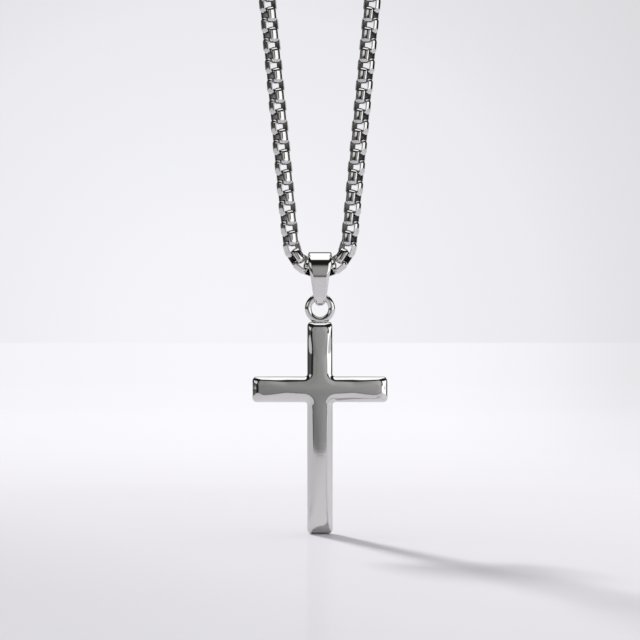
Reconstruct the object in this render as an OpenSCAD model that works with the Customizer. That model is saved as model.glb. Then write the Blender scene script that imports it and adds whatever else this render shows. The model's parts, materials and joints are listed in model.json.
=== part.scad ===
// Polished steel cross pendant on a round box chain, stored hanging from the crown of its loop.
// The origin is under the clasp at the crown, +Z is up and -Y faces the viewer.
// The chain is a whole loop in the XZ plane. Links make the stretch that hangs near the pendant,
// and a plain tube as thick as the chain makes the rest, up to the clasp.

/* [Cross] */
// Height of the cross from its top edge to its foot
cross_height = 36.5; // [26:0.5:60]
// Width across the two side arms
cross_span = 23.3; // [14:0.1:40]
// Width of each bar, seen from the front
bar_width = 4.4; // [3.2:0.1:7]
// Thickness from front to back
cross_thickness = 2.9; // [2.2:0.1:5]
// Distance from the top edge down to the middle of the side arms
arm_drop = 11.65; // [7:0.05:16]
// Width of the rounded shoulder between the flat face and the edge
shoulder_width = 1.1; // [0.3:0.05:1.4]
// Depth of the rounded shoulder, from the flat face towards the back
shoulder_depth = 0.95; // [0.3:0.05:1.05]
// Rounding of the outer corners at the bar ends
end_corner = 0.5; // [0.2:0.05:1.2]
// Rounding of the four inner corners where the bars meet
inner_corner = 0.5; // [0.2:0.05:1.5]

/* [Ring] */
// Thickness of the ring's round wire
ring_wire = 1.2; // [0.9:0.05:1.4]
// Free opening across the inside of the ring
ring_bore = 2.84; // [2.7:0.02:4]
// Depth that the ring's wire is sunk into the top edge of the cross
ring_seat = 0.34; // [0.15:0.01:0.6]

/* [Bail] */
// Width of the bail at its top
bail_width = 4.2; // [3:0.1:6]
// Width of the bail at its lower fold
bail_tip_width = 1.5; // [1:0.1:1.8]
// Radius of the bail's two long walls, which bulge to the front and the back
bail_bulge = 8; // [7:0.5:14]
// Thickness of the bail's walls
bail_wall = 0.5; // [0.3:0.05:0.8]
// Extra thickness of the metal under the lower fold
bail_tip_extra = 0.22; // [0:0.02:0.3]
// Distance from the axis that the bail swings about down to the middle of the ring's wire
bail_drop = 5.02; // [4.6:0.02:8]
// Room between the chain and the inside of the bail
bail_play = 0.25; // [0.15:0.05:1]
// Room between the ring's wire and the bail's lower fold
fold_play = 0.3; // [0.15:0.05:0.5]
// Room between the ring's hole and the edges of the fold that passes through it
fold_edge_play = 0.17; // [0.1:0.01:0.4]

/* [Chain] */
// Length of the whole loop along its middle
chain_length = 550; // [400:10:760]
// Outer width of the round box chain
link_width = 3.1; // [3:0.05:3.3]
// Outer length of one link
link_length = 2.66; // [2.6:0.01:2.72]
// Distance from one link to the next along a straight stretch
link_pitch = 1.76; // [1.72:0.01:1.8]
// Width of the strip that a link is bent from
strip_width = 1.3; // [1.1:0.05:1.4]
// Thickness of the strip
strip_thickness = 0.32; // [0.24:0.01:0.34]
// Outer rounding of a link's four bends
link_bend = 0.85; // [0.7:0.05:0.95]
// Turn of the links about the chain, out of the plane of the loop
link_roll = 25; // [0:1:45]
// How many links hang on each side of the lowest one
links_each_side = 32; // [20:1:44]
// Angle of the two strands from the vertical
strand_lean = 5.5; // [4:0.1:9]
// How far the lowest link lies below the bail's swing axis
chain_sag = 0.4; // [0.3:0.05:0.6]
// Gap between the last link and the tube that carries on the chain
tube_gap = 0.2; // [0.1:0.05:0.5]

/* [Clasp] */
// Length of the clasp
clasp_length = 13; // [9:0.5:18]
// Width of the clasp at its hook end
clasp_width = 5; // [4:0.1:7]
// Width of the clasp at its eye end
clasp_eye_width = 3.4; // [2.8:0.1:3.8]
// Thickness of the clasp
clasp_thickness = 2.4; // [1.5:0.1:3.5]
// Width of the metal round the clasp's two holes
clasp_rim = 1; // [0.6:0.1:1.2]
// Gap between the clasp and each end of the chain
clasp_gap = 0.2; // [0.1:0.05:0.5]

/* [Hidden] */
steel = [0.79, 0.79, 0.81];
dark_steel = [0.66, 0.66, 0.69];
round_fn = 48;
past = 1;

// The lowest links turn up out of the bail one by one. Each row is one link, counted from the lowest:
// its slope from the horizontal, and the step to the next link as a share of link_pitch.
bend_slope = 0;
bend_step = 1;
bend = [
    [0, 0.91],
    [19, 0.91],
    [38, 0.92],
    [57, 0.945],
    [73, 0.98]
];
first_straight = len(bend);

function link_slope(i) = i < first_straight ? bend[i][bend_slope] : 90 - strand_lean;
function link_step(i) = link_pitch * (i < first_straight ? bend[i][bend_step] : 1);
function heading(angle) = [cos(angle), sin(angle)];
function link_centre(i) =
    i == 0 ? [0, 0]
    : link_centre(i - 1) + link_step(i - 1) * heading((link_slope(i - 1) + link_slope(i)) / 2);
function steps_before(i) = i == 0 ? 0 : link_step(i - 1) + steps_before(i - 1);

// Each strand runs straight from the bend to the arc of the crown, whose radius gives the loop its length.
bend_end = link_centre(first_straight);
strand_heading = heading(90 - strand_lean);
crown_turn = (90 + strand_lean) * PI / 180;
half_left = chain_length / 2 - steps_before(first_straight);
crown_radius = (half_left + bend_end[0] / strand_heading[0])
    / (strand_heading[1] / strand_heading[0] + crown_turn);
strand_length = (crown_radius * strand_heading[1] - bend_end[0]) / strand_heading[0];
crown_middle = bend_end[1] + strand_length * strand_heading[1] + crown_radius * strand_heading[0];

// A point of the route and its slope, at a distance along it from the end of the bend.
function crown_angle(s) = (s - strand_length) / crown_radius * 180 / PI - strand_lean;
function route_point(s) =
    s <= strand_length ? bend_end + s * strand_heading
    : [0, crown_middle] + crown_radius * heading(crown_angle(s));
function route_slope(s) = s <= strand_length ? 90 - strand_lean : crown_angle(s) + 90;

// The clasp lies along a chord of the crown's arc, and its underside is the origin's level.
clasp_hook_r = clasp_width / 2;
clasp_eye_r = clasp_eye_width / 2;
clasp_reach = clasp_length - clasp_hook_r - clasp_eye_r;
clasp_middle_r = clasp_hook_r + (clasp_eye_r - clasp_hook_r) * (clasp_length / 2 - clasp_hook_r) / clasp_reach;
clasp_rise = crown_radius - sqrt(crown_radius * crown_radius - clasp_length * clasp_length / 4);
crown_z = clasp_middle_r + clasp_rise / 2;
chain_low_z = crown_z - crown_middle - crown_radius;

// Heights on the pendant, from the top down.
swing_z = chain_low_z + chain_sag;
bail_bore_r = link_width / 2 + chain_sag + bail_play;
fold_r = ring_wire / 2 + fold_play;
wire_z = swing_z - bail_drop;
ring_r = (ring_bore + ring_wire) / 2;
ring_z = wire_z - ring_r;
cross_top_z = ring_z - ring_r - ring_wire / 2 + ring_seat;

// Front outline of the bail: share of its height from the top, and share of the way from its lower
// fold's width to its top width.
bail_level = 0;
bail_spread = 1;
bail_outline = [
    [0, 0.86],
    [0.03, 1],
    [0.37, 0.8],
    [0.81, 0.3],
    [1, 0]
];
bail_top = bail_bore_r + bail_wall;
bail_bottom = -bail_drop - fold_r - bail_wall - bail_tip_extra;

// Rounded shoulder of the cross in flat steps, and the points along each rounded corner.
shoulder_steps = 5;
corner_steps = 3;
sharpest = 0.03;

// Corners of the cross, counted anticlockwise from the top right, with 1 for an outer corner
// and -1 for an inner one.
half_bar = bar_width / 2;
half_span = cross_span / 2;
cross_corners = [
    [half_bar, 0, 1],
    [-half_bar, 0, 1],
    [-half_bar, half_bar - arm_drop, -1],
    [-half_span, half_bar - arm_drop, 1],
    [-half_span, -half_bar - arm_drop, 1],
    [-half_bar, -half_bar - arm_drop, -1],
    [-half_bar, -cross_height, 1],
    [half_bar, -cross_height, 1],
    [half_bar, -half_bar - arm_drop, -1],
    [half_span, -half_bar - arm_drop, 1],
    [half_span, half_bar - arm_drop, 1],
    [half_bar, half_bar - arm_drop, -1]
];
corner_count = len(cross_corners);

function corner(i) = cross_corners[(i + corner_count) % corner_count];
function flat(c) = [c[0], c[1]];
function along(i) = let (d = flat(corner(i + 1)) - flat(corner(i))) d / norm(d);
function inward(i) = [-along(i)[1], along(i)[0]];
// One corner of the outline, drawn in by inset: its two edges move in and its rounding follows them.
function corner_arc(i, inset) =
    let (
        before = inward(i - 1),
        after = inward(i),
        side = corner(i)[2],
        radius = side > 0 ? max(end_corner - inset, sharpest) : inner_corner + inset,
        middle = flat(corner(i)) + (inset + side * radius) * (before + after)
    )
    [for (k = [0:corner_steps])
        let (turn = 90 * k / corner_steps)
        middle - side * radius * (before * cos(turn) + after * sin(turn))];
function cross_outline(inset) =
    [for (i = [0:corner_count - 1]) each corner_arc(i, inset)];

// Layers of the cross from front to back: how far each lies from the middle, and its inset.
half_side = cross_thickness / 2 - shoulder_depth;
shoulder = [for (k = [0:shoulder_steps])
    let (turn = 90 * k / shoulder_steps)
    [half_side + shoulder_depth * sin(turn), shoulder_width * (1 - cos(turn))]];
cross_layers = concat(
    [for (k = [shoulder_steps:-1:0]) [-shoulder[k][0], shoulder[k][1]]],
    [for (k = [0:shoulder_steps]) shoulder[k]]
);

// The skin of a stack of rings with equal numbers of points, closed at each end by a fan of triangles
// round a middle point. The two middle points come after the rings' own.
function skin(rings, size) = concat(
    [for (r = [0:rings - 2], k = [0:size - 1])
        let (a = r * size + k, b = r * size + (k + 1) % size)
        each [[a, b + size, a + size], [a, b, b + size]]],
    [for (k = [0:size - 1]) [(k + 1) % size, k, rings * size]],
    [for (k = [0:size - 1])
        let (a = (rings - 1) * size + k, b = (rings - 1) * size + (k + 1) % size)
        [a, b, rings * size + 1]]
);

module cross_body() {
    rings = [for (layer = cross_layers, p = cross_outline(layer[1])) [p[0], layer[0], p[1]]];
    middles = [for (side = [-1, 1]) [0, side * cross_thickness / 2, -arm_drop]];
    polyhedron(concat(rings, middles), skin(len(cross_layers), corner_count * (corner_steps + 1)));
}

module ring() {
    rotate([90, 0, 0])
        rotate_extrude($fn = round_fn)
            translate([ring_r, 0])
                circle(d = ring_wire, $fn = round_fn);
}

module cross() {
    color(steel)
        union() {
            translate([0, 0, cross_top_z]) cross_body();
            translate([0, 0, ring_z]) ring();
        }
}

// Two circles one above the other and the flat sides that touch both.
module teardrop(top_r, tip_r, drop) {
    lean = asin((top_r - tip_r) / drop);
    side = [cos(lean), -sin(lean)];
    high = top_r * side;
    low = tip_r * side - [0, drop];
    circle(top_r, $fn = round_fn);
    translate([0, -drop]) circle(tip_r, $fn = round_fn);
    polygon([high, [-high[0], high[1]], [-low[0], low[1]], low]);
}

// Two circles one above the other and the long arcs that touch both and bulge outwards.
module leaf(top_r, tip_r, drop, bulge_r) {
    level = (pow(bulge_r - tip_r, 2) - pow(bulge_r - top_r, 2) - drop * drop) / (2 * drop);
    aside = sqrt(pow(bulge_r - top_r, 2) - level * level);
    high = -level * top_r / (bulge_r - top_r);
    low = -drop - (drop + level) * tip_r / (bulge_r - tip_r);
    circle(top_r, $fn = round_fn);
    translate([0, -drop]) circle(tip_r, $fn = round_fn);
    intersection() {
        translate([-aside, level]) circle(bulge_r, $fn = round_fn);
        translate([aside, level]) circle(bulge_r, $fn = round_fn);
        translate([-bulge_r, low]) square([2 * bulge_r, high - low]);
    }
}

module bail_side() {
    difference() {
        leaf(bail_top, fold_r + bail_wall, bail_drop + bail_tip_extra, bail_bulge);
        leaf(bail_bore_r, fold_r, bail_drop, bail_bulge - bail_wall);
    }
}

module bail_front() {
    right = [for (row = bail_outline)
        [(bail_tip_width + (bail_width - bail_tip_width) * row[bail_spread]) / 2,
         bail_top + (bail_bottom - bail_top) * row[bail_level]]];
    last = len(right) - 1;
    polygon(concat(
        [for (k = [0:last]) [-right[k][0], right[k][1]]],
        [for (k = [last:-1:0]) right[k]]
    ));
}

// What the ring sweeps when it turns about its wire, up to the level of the wire's top: the fold's inner
// edges are rounded away from it.
module ring_sweep() {
    intersection() {
        rotate([0, 90, 0])
            rotate_extrude($fn = round_fn)
                difference() {
                    translate([0, -bail_width / 2]) square([ring_r, bail_width]);
                    translate([ring_r, 0]) circle(ring_bore / 2 - fold_edge_play, $fn = round_fn);
                }
        translate([-bail_width, -bail_width, ring_wire / 2 - 2 * bail_width]) cube(2 * bail_width);
    }
}

module bail() {
    color(steel)
        translate([0, 0, swing_z])
            difference() {
                intersection() {
                    rotate([90, 0, 90])
                        linear_extrude(bail_width + past, center = true)
                            bail_side();
                    rotate([90, 0, 0])
                        linear_extrude(2 * bail_bulge, center = true)
                            bail_front();
                }
                translate([0, 0, -bail_drop]) ring_sweep();
            }
}

// A rectangle whose corners are each cut in two flat steps.
module stepped_rect(width, height, radius) {
    corner_at = [[1, 1], [-1, 1], [-1, -1], [1, -1]];
    polygon([for (q = [0:3], k = [0:2])
        [corner_at[q][0] * (width / 2 - radius), corner_at[q][1] * (height / 2 - radius)]
        + radius * heading(90 * q + 45 * k)]);
}

// One link, standing along Z: a strip bent to a box, with its two plates rounded on the outside.
module link() {
    plate_sides = 12;
    half_step = 180 / plate_sides;
    plate_spare = 0.05;
    intersection() {
        rotate([90, 0, 0])
            linear_extrude(strip_width + past, center = true)
                difference() {
                    stepped_rect(link_width + 2 * plate_spare, link_length, link_bend);
                    stepped_rect(
                        link_width - 2 * strip_thickness,
                        link_length - 2 * strip_thickness,
                        link_bend - strip_thickness
                    );
                }
        rotate([0, 0, half_step])
            cylinder(
                h = link_length + past,
                d = link_width / cos(half_step),
                center = true,
                $fn = plate_sides
            );
        rotate([90, 0, 90])
            linear_extrude(link_width + past, center = true)
                stepped_rect(strip_width, link_length + plate_spare, strip_width / 2 - plate_spare);
    }
}

// Link number i of the right strand, in its place. Every second link is turned by a quarter.
module placed_link(i) {
    at = link_centre(i);
    translate([at[0], 0, chain_low_z + at[1]])
        rotate([0, 90 - link_slope(i), 0])
            rotate([0, 0, 90 * (i % 2) - link_roll])
                link();
}

module chain_front() {
    color(dark_steel) {
        placed_link(0);
        for (i = [1:links_each_side]) {
            placed_link(i);
            mirror([1, 0, 0]) placed_link(i);
        }
    }
}

// The tube starts past the last link and ends beside the clasp.
tube_sides = 8;
tube_ring_step = 8;
tube_start = (links_each_side - first_straight) * link_pitch + link_length / 2 + tube_gap;
tube_end = strand_length + crown_radius * (crown_turn - asin(clasp_length / 2 / crown_radius) * PI / 180)
    - clasp_gap;
tube_rings = ceil((tube_end - tube_start) / tube_ring_step) + 1;

function tube_ring(s) =
    let (
        at = route_point(s),
        out = heading(route_slope(s) - 90)
    )
    [for (k = [0:tube_sides - 1])
        let (turn = 360 * (k + 0.5) / tube_sides)
        [
            at[0] + link_width / 2 * cos(turn) * out[0],
            -link_width / 2 * sin(turn),
            chain_low_z + at[1] + link_width / 2 * cos(turn) * out[1]
        ]];

module chain_tube() {
    rings = [for (r = [0:tube_rings - 1])
        each tube_ring(tube_start + (tube_end - tube_start) * r / (tube_rings - 1))];
    middles = [for (s = [tube_start, tube_end])
        let (at = route_point(s)) [at[0], 0, chain_low_z + at[1]]];
    polyhedron(concat(rings, middles), skin(tube_rings, tube_sides));
}

module chain_back() {
    color(dark_steel) {
        chain_tube();
        mirror([1, 0, 0]) chain_tube();
    }
}

module clasp() {
    color(steel)
        translate([clasp_hook_r - clasp_length / 2, 0, clasp_middle_r])
            rotate([90, 0, 0])
                linear_extrude(clasp_thickness, center = true)
                    difference() {
                        rotate(90) teardrop(clasp_hook_r, clasp_eye_r, clasp_reach);
                        circle(clasp_hook_r - clasp_rim, $fn = round_fn);
                        translate([clasp_reach, 0]) circle(clasp_eye_r - clasp_rim, $fn = round_fn);
                    }
}

cross();
bail();
chain_front();
chain_back();
clasp();
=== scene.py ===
import json
import math

import bmesh
import bpy
import numpy as np
from bpy.props import FloatProperty, FloatVectorProperty, IntProperty, PointerProperty
from mathutils import Matrix, Vector


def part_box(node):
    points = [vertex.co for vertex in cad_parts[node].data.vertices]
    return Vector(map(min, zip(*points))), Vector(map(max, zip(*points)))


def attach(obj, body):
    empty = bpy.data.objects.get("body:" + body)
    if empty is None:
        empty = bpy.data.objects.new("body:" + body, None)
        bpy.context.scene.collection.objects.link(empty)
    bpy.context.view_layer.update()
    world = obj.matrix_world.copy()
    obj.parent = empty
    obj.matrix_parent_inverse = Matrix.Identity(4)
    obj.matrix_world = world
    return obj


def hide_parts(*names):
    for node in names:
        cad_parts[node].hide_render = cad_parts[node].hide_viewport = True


bl_info = {
    "name": "Cross Pendant",
    "version": (1, 0, 0),
    "blender": (4, 5, 0),
    "location": "3D View > Sidebar > Pendant",
    "description": "Polished steel cross pendant on a round box chain, over a pale table",
    "category": "Object",
}

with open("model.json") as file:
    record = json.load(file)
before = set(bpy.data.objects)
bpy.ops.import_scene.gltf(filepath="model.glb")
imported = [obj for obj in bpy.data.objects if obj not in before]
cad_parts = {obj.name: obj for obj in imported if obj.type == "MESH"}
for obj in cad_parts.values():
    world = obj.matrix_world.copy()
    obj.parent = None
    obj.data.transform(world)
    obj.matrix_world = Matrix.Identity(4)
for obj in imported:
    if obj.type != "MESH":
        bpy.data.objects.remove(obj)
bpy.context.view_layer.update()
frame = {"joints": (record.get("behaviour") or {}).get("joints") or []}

# Blender works in metres, and a pendant's sizes are millimetres.
MM = 0.001

# Two points closer than this are one.
SAME_PLACE = 1e-7

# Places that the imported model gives: its boxes, and the axes that the bail and the cross swing about.
CROSS_LOW, CROSS_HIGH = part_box("cross")
BAIL_LOW, BAIL_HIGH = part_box("bail")
CLASP_LOW, CLASP_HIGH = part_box("clasp")
AXES = {joint["name"]: Vector(joint["pos_m"]) for joint in frame["joints"]}
SWING_Z = AXES["bail_swing"].z
WIRE_Z = AXES["cross_swing"].z

FRONT = -1
BACK = 1


# ---- Small tools ----


def linear(colour):
    """Turns an sRGB hex colour such as "#DDDCDB" to linear red, green, blue and 1."""
    shares = [int(colour[k : k + 2], 16) / 255 for k in (1, 3, 5)]
    return [s / 12.92 if s <= 0.04045 else ((s + 0.055) / 1.055) ** 2.4 for s in shares] + [1.0]


def first_output(node):
    """A node's first output that is in use."""
    return next(output for output in node.outputs if output.enabled)


def add_node(tree, kind, inputs=None, stops=(), **settings):
    """Adds a node with its settings. Each input is a value, the socket of another node that feeds it, or
    that node itself for its first output. The stops of a ramp are (share, brightness)."""
    node = tree.nodes.new(kind)
    for name, value in settings.items():
        setattr(node, name, value)
    for name, value in (inputs or {}).items():
        if isinstance(value, bpy.types.Node):
            value = first_output(value)
        if isinstance(value, bpy.types.NodeSocket):
            tree.links.new(value, node.inputs[name])
        else:
            node.inputs[name].default_value = value
    if stops:
        elements = node.color_ramp.elements
        while len(elements) < len(stops):
            elements.new(0.5)
        for element, (share, bright) in zip(elements, stops):
            element.position, element.color = share, grey(bright)
    return node


def grey(bright):
    """A grey of this brightness, for a socket that takes a colour."""
    return (bright, bright, bright, 1)


def heading(degrees):
    """A unit vector in the plane of the loop, at this angle from the horizontal."""
    return np.array([math.cos(math.radians(degrees)), math.sin(math.radians(degrees))])


def fall_of(turns, depth):
    """The fall of a rounded shoulder as a function of the share of its width. turns tells how it turns
    away, as (share of its width, degrees), and depth is its whole fall."""
    shares = np.linspace(0, 1, 400)
    steep = np.tan(np.radians(np.interp(shares, *zip(*turns))))
    fallen = np.concatenate([[0], np.cumsum((steep[1:] + steep[:-1]) / 2)])
    return lambda share: np.interp(share, shares, depth * fallen / fallen[-1])


def ring_faces(rings, around, closed, capped):
    """Quads between rings of points, each ring `around` points long. closed joins the last ring to the
    first, and capped closes the two end rings with one face each."""
    faces = []
    for r in range(rings if closed else rings - 1):
        a, b = r * around, (r + 1) % rings * around
        faces += [(a + k, a + (k + 1) % around, b + (k + 1) % around, b + k) for k in range(around)]
    if capped:
        faces.append(tuple(range(around)))
        faces.append(tuple((rings - 1) * around + k for k in reversed(range(around))))
    return faces


def shell(rings, closed=False):
    """A skin without a hole over a list of rings of points, as (points, faces). closed joins the last
    ring to the first, and otherwise the two end rings are capped."""
    rings = np.array(rings)
    count, around = rings.shape[:2]
    return rings.reshape(-1, 3), ring_faces(count, around, closed, capped=not closed)


def make_piece(name, shells, material):
    """Joins closed shells to one smooth mesh object at the origin, faces outwards."""
    whole = bmesh.new()
    for points, faces in shells:
        part = bmesh.new()
        corners = [part.verts.new(p) for p in points]
        for face in faces:
            part.faces.new([corners[k] for k in face])
        bmesh.ops.remove_doubles(part, verts=part.verts, dist=SAME_PLACE)
        bmesh.ops.recalc_face_normals(part, faces=part.faces)
        if part.calc_volume(signed=True) < 0:
            bmesh.ops.reverse_faces(part, faces=part.faces)
        copy = bpy.data.meshes.new(name + "_shell")
        part.to_mesh(copy)
        part.free()
        whole.from_mesh(copy)
        bpy.data.meshes.remove(copy)
    for face in whole.faces:
        face.smooth = True
    mesh = bpy.data.meshes.new(name)
    whole.to_mesh(mesh)
    whole.free()
    mesh.materials.append(material)
    piece = bpy.data.objects.new(name, mesh)
    bpy.context.scene.collection.objects.link(piece)
    return piece


def dress(piece, body, node):
    """The piece rides on its body and stands for its CAD node, which is hidden."""
    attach(piece, body)
    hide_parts(node)


def torus(centre, along, across, radius, wire, turns, sides):
    """A ring of round wire. along and across are the two directions that it lies in."""
    axis = np.cross(along, across)
    rings = []
    for t in np.linspace(0, 2 * math.pi, turns, endpoint=False):
        out = math.cos(t) * np.array(along) + math.sin(t) * np.array(across)
        middle = np.array(centre) + radius * out
        turn = np.linspace(0, 2 * math.pi, sides, endpoint=False)[:, None]
        rings.append(middle + wire / 2 * (np.cos(turn) * out + np.sin(turn) * axis))
    return shell(rings, closed=True)


def rounded_loft(stations, sides, fullness):
    """A solid with rounded ends through oval stations: (centre, half size one way, half size the other
    way), each of the last two a vector. A fullness of 2 is an ellipse, and more is squarer."""
    turn = np.linspace(0, 2 * math.pi, sides, endpoint=False)
    cos, sin = np.cos(turn), np.sin(turn)
    one = (np.sign(cos) * np.abs(cos) ** (2 / fullness))[:, None]
    other = (np.sign(sin) * np.abs(sin) ** (2 / fullness))[:, None]
    return shell([np.array(c) + one * np.array(a) + other * np.array(b) for c, a, b in stations])


# ---- Sizes and colours that a user would change ----


class CrossSizes(bpy.types.PropertyGroup):
    """Sizes of the cross and its ring."""

    height: FloatProperty(
        name="Height",
        description="From the top edge to the foot, without the ring",
        default=36.5 * MM,
        unit="LENGTH",
    )
    bar_width: FloatProperty(
        name="Bar Width", description="Width of each bar", default=4.4 * MM, unit="LENGTH"
    )
    arm_drop: FloatProperty(
        name="Arm Drop",
        description="From the top edge down to the middle of the side arms",
        default=11.65 * MM,
        unit="LENGTH",
    )
    shoulder_width: FloatProperty(
        name="Shoulder Width",
        description="Width of the rounded shoulder beside the flat face",
        default=1.15 * MM,
        unit="LENGTH",
    )
    shoulder_depth: FloatProperty(
        name="Shoulder Depth",
        description="How far the rounded shoulder falls away",
        default=0.95 * MM,
        unit="LENGTH",
    )
    flat_crown: FloatProperty(
        name="Flat Crown",
        description="How much lower the edge of the flat face lies than its middle",
        default=0.045 * MM,
        unit="LENGTH",
    )
    end_fullness: FloatProperty(
        name="End Fullness",
        description="Share by which the shoulder is narrower at the ends of the bars",
        default=0.34,
        subtype="FACTOR",
    )
    middle_fullness: FloatProperty(
        name="Middle Fullness",
        description="Share by which the shoulder is narrower beside the inner corners",
        default=0.18,
        subtype="FACTOR",
    )
    end_corner: FloatProperty(
        name="End Corner",
        description="Rounding of the outer corners of the bars",
        default=0.8 * MM,
        unit="LENGTH",
    )
    flat_corner: FloatProperty(
        name="Flat Corner",
        description="Rounding of the flat face's own outer corners",
        default=1.0 * MM,
        unit="LENGTH",
    )
    inner_corner: FloatProperty(
        name="Inner Corner",
        description="Rounding of the corners where the bars meet",
        default=0.5 * MM,
        unit="LENGTH",
    )
    inner_sweep: FloatProperty(
        name="Inner Sweep",
        description="How fast the rounding of the inner corners grows towards the flat face",
        default=0.9,
        subtype="FACTOR",
    )
    ring_wire: FloatProperty(
        name="Ring Wire", description="Thickness of the ring's wire", default=1.2 * MM, unit="LENGTH"
    )
    ring_bore: FloatProperty(
        name="Ring Bore", description="Free opening of the ring", default=2.84 * MM, unit="LENGTH"
    )


class BailSizes(bpy.types.PropertyGroup):
    """Sizes of the bail, the folded strip that the chain runs through."""

    width: FloatProperty(
        name="Width", description="Width of the bail at its top", default=4.2 * MM, unit="LENGTH"
    )
    tip_width: FloatProperty(
        name="Tip Width",
        description="Width of the bail at its lower fold",
        default=1.5 * MM,
        unit="LENGTH",
    )
    wall: FloatProperty(
        name="Wall", description="Thickness of the strip", default=0.5 * MM, unit="LENGTH"
    )
    tip_extra: FloatProperty(
        name="Tip Extra",
        description="Extra thickness of the metal under the lower fold",
        default=0.22 * MM,
        unit="LENGTH",
    )
    bore_radius: FloatProperty(
        name="Bore Radius",
        description="Radius of the opening round the chain",
        default=2.2 * MM,
        unit="LENGTH",
    )
    fold_radius: FloatProperty(
        name="Fold Radius",
        description="Radius of the lower fold round the ring's wire",
        default=0.9 * MM,
        unit="LENGTH",
    )
    bulge: FloatProperty(
        name="Bulge", description="Radius of the two long walls", default=8 * MM, unit="LENGTH"
    )
    edge_width: FloatProperty(
        name="Edge Width",
        description="Width of the rounded edge, seen from the front",
        default=0.5 * MM,
        unit="LENGTH",
    )
    edge_depth: FloatProperty(
        name="Edge Depth",
        description="Depth of the rounded edge, seen from the side",
        default=0.33 * MM,
        unit="LENGTH",
    )
    ring_play: FloatProperty(
        name="Ring Play",
        description="Room between the ring's hole and the fold that passes through it",
        default=0.17 * MM,
        unit="LENGTH",
    )


class ChainSizes(bpy.types.PropertyGroup):
    """Sizes of the round box chain."""

    link_width: FloatProperty(
        name="Link Width", description="Outer width of the chain", default=3.1 * MM, unit="LENGTH"
    )
    link_length: FloatProperty(
        name="Link Length", description="Outer length of a link", default=2.85 * MM, unit="LENGTH"
    )
    link_pitch: FloatProperty(
        name="Link Pitch",
        description="From one link to the next along a straight stretch",
        default=1.76 * MM,
        unit="LENGTH",
    )
    strip_width: FloatProperty(
        name="Strip Width",
        description="Width of the strip that a link is bent from",
        default=1.7 * MM,
        unit="LENGTH",
    )
    strip_thickness: FloatProperty(
        name="Strip Thickness",
        description="Thickness of the strip at its middle",
        default=0.5 * MM,
        unit="LENGTH",
    )
    strip_dome: FloatProperty(
        name="Strip Dome",
        description="How much lower the strip's outer face is at its edges",
        default=0.32 * MM,
        unit="LENGTH",
    )
    edge_radius: FloatProperty(
        name="Edge Radius",
        description="Rounding of the strip's edges",
        default=0.08 * MM,
        unit="LENGTH",
    )
    bend_radius: FloatProperty(
        name="Bend Radius",
        description="Radius of a link's four bends, along the middle of the strip",
        default=0.55 * MM,
        unit="LENGTH",
    )
    roll: FloatProperty(
        name="Roll",
        description="Turn of the links about the chain, out of the plane of the loop",
        default=math.radians(29),
        unit="ROTATION",
    )
    links_each_side: IntProperty(
        name="Links Each Side",
        description="Fine links on each side of the lowest one",
        default=32,
        min=6,
    )
    strand_lean: FloatProperty(
        name="Strand Lean",
        description="Angle of the two strands from the vertical",
        default=math.radians(5.5),
        unit="ROTATION",
    )
    loop_length: FloatProperty(
        name="Loop Length",
        description="Length of the whole loop along its middle",
        default=550 * MM,
        unit="LENGTH",
    )
    sag: FloatProperty(
        name="Sag",
        description="How far the lowest link lies under the bail's swing axis",
        default=0.4 * MM,
        unit="LENGTH",
    )


class ClaspSizes(bpy.types.PropertyGroup):
    """Sizes of the lobster clasp."""

    hook_radius: FloatProperty(
        name="Hook Radius", description="Outer radius of the hook", default=2.5 * MM, unit="LENGTH"
    )
    eye_radius: FloatProperty(
        name="Eye Radius", description="Outer radius of the eye", default=1.7 * MM, unit="LENGTH"
    )
    hook_wire: FloatProperty(
        name="Hook Wire",
        description="Thickness of the hook's metal",
        default=1 * MM,
        unit="LENGTH",
    )
    eye_wire: FloatProperty(
        name="Eye Wire", description="Thickness of the eye's metal", default=1 * MM, unit="LENGTH"
    )
    jump_wire: FloatProperty(
        name="Jump Wire",
        description="Thickness of the jump rings' wire",
        default=0.6 * MM,
        unit="LENGTH",
    )
    jump_reach: FloatProperty(
        name="Jump Reach",
        description="From the middle of the hook to the near side of the jump ring that it holds",
        default=1.2 * MM,
        unit="LENGTH",
    )
    jump_room: FloatProperty(
        name="Jump Room",
        description="Room between the clasp and the last link on each side",
        default=0.35 * MM,
        unit="LENGTH",
    )


class Finish(bpy.types.PropertyGroup):
    """Colours of the metal, the table and the backdrop."""

    pendant_steel: FloatVectorProperty(
        name="Pendant Steel",
        description="Colour of the polished cross, bail and clasp",
        default=linear("#DDDCDB")[:3],
        size=3,
        subtype="COLOR",
    )
    chain_steel: FloatVectorProperty(
        name="Chain Steel",
        description="Colour of the tumbled chain",
        default=linear("#D9D8D7")[:3],
        size=3,
        subtype="COLOR",
    )
    # Painted shade: the links' inner faces take this darker colour as shade between the links.
    link_inside_shade: FloatVectorProperty(
        name="Link Inside",
        description="Colour of the links' inner faces, which tumbling leaves dull",
        default=linear("#6E6D6C")[:3],
        size=3,
        subtype="COLOR",
    )
    table: FloatVectorProperty(
        name="Table",
        description="Colour of the table top",
        default=linear("#DEDCE1")[:3],
        size=3,
        subtype="COLOR",
    )
    backdrop: FloatVectorProperty(
        name="Backdrop",
        description="Tint of the backdrop, and of the lit sheet that melts into it",
        default=linear("#FBFBFF")[:3],
        size=3,
        subtype="COLOR",
    )


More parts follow.
